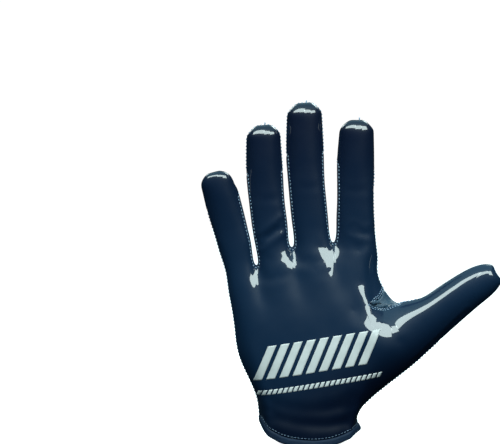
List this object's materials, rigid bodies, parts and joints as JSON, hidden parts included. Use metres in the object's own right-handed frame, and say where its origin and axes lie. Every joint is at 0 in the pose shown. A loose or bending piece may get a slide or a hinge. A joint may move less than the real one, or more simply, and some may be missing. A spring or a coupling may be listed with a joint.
{
  "type": "football receiver glove",
  "caption": "Full-finger sports glove for a right hand, with a glossy grip palm, a perforated back, a separate thumb gusset, a bound wrist opening and a ribbed closure tab.",
  "frame": {"origin": "centre of the wrist opening, at the level of its mount", "axes": "+Z from the wrist to the fingertips, +X towards the thumb side, -Y towards the palm"},
  "size_m": [0.1925, 0.0461, 0.2208],
  "materials": {
    "palm_leather": "tacky glossy coated leather",
    "back_leather": "matte perforated synthetic leather",
    "thumb_back_leather": "matte perforated synthetic leather",
    "gusset_leather": "soft matte leather",
    "fourchette_fabric": "matte stretch fabric",
    "binding": "matte woven binding",
    "tab_rubber": "moulded satin rubber"
  },
  "bodies": {
    "root": {"palm_panel": "palm_leather", "back_panel": "back_leather", "thumb_back_panel": "thumb_back_leather", "thumb_gusset": "gusset_leather", "fourchette_ring_pinky": "fourchette_fabric", "fourchette_middle_ring": "fourchette_fabric", "fourchette_index_middle": "fourchette_fabric", "hem_binding": "binding", "closure_tab": "tab_rubber"}
  },
  "joints": []
}
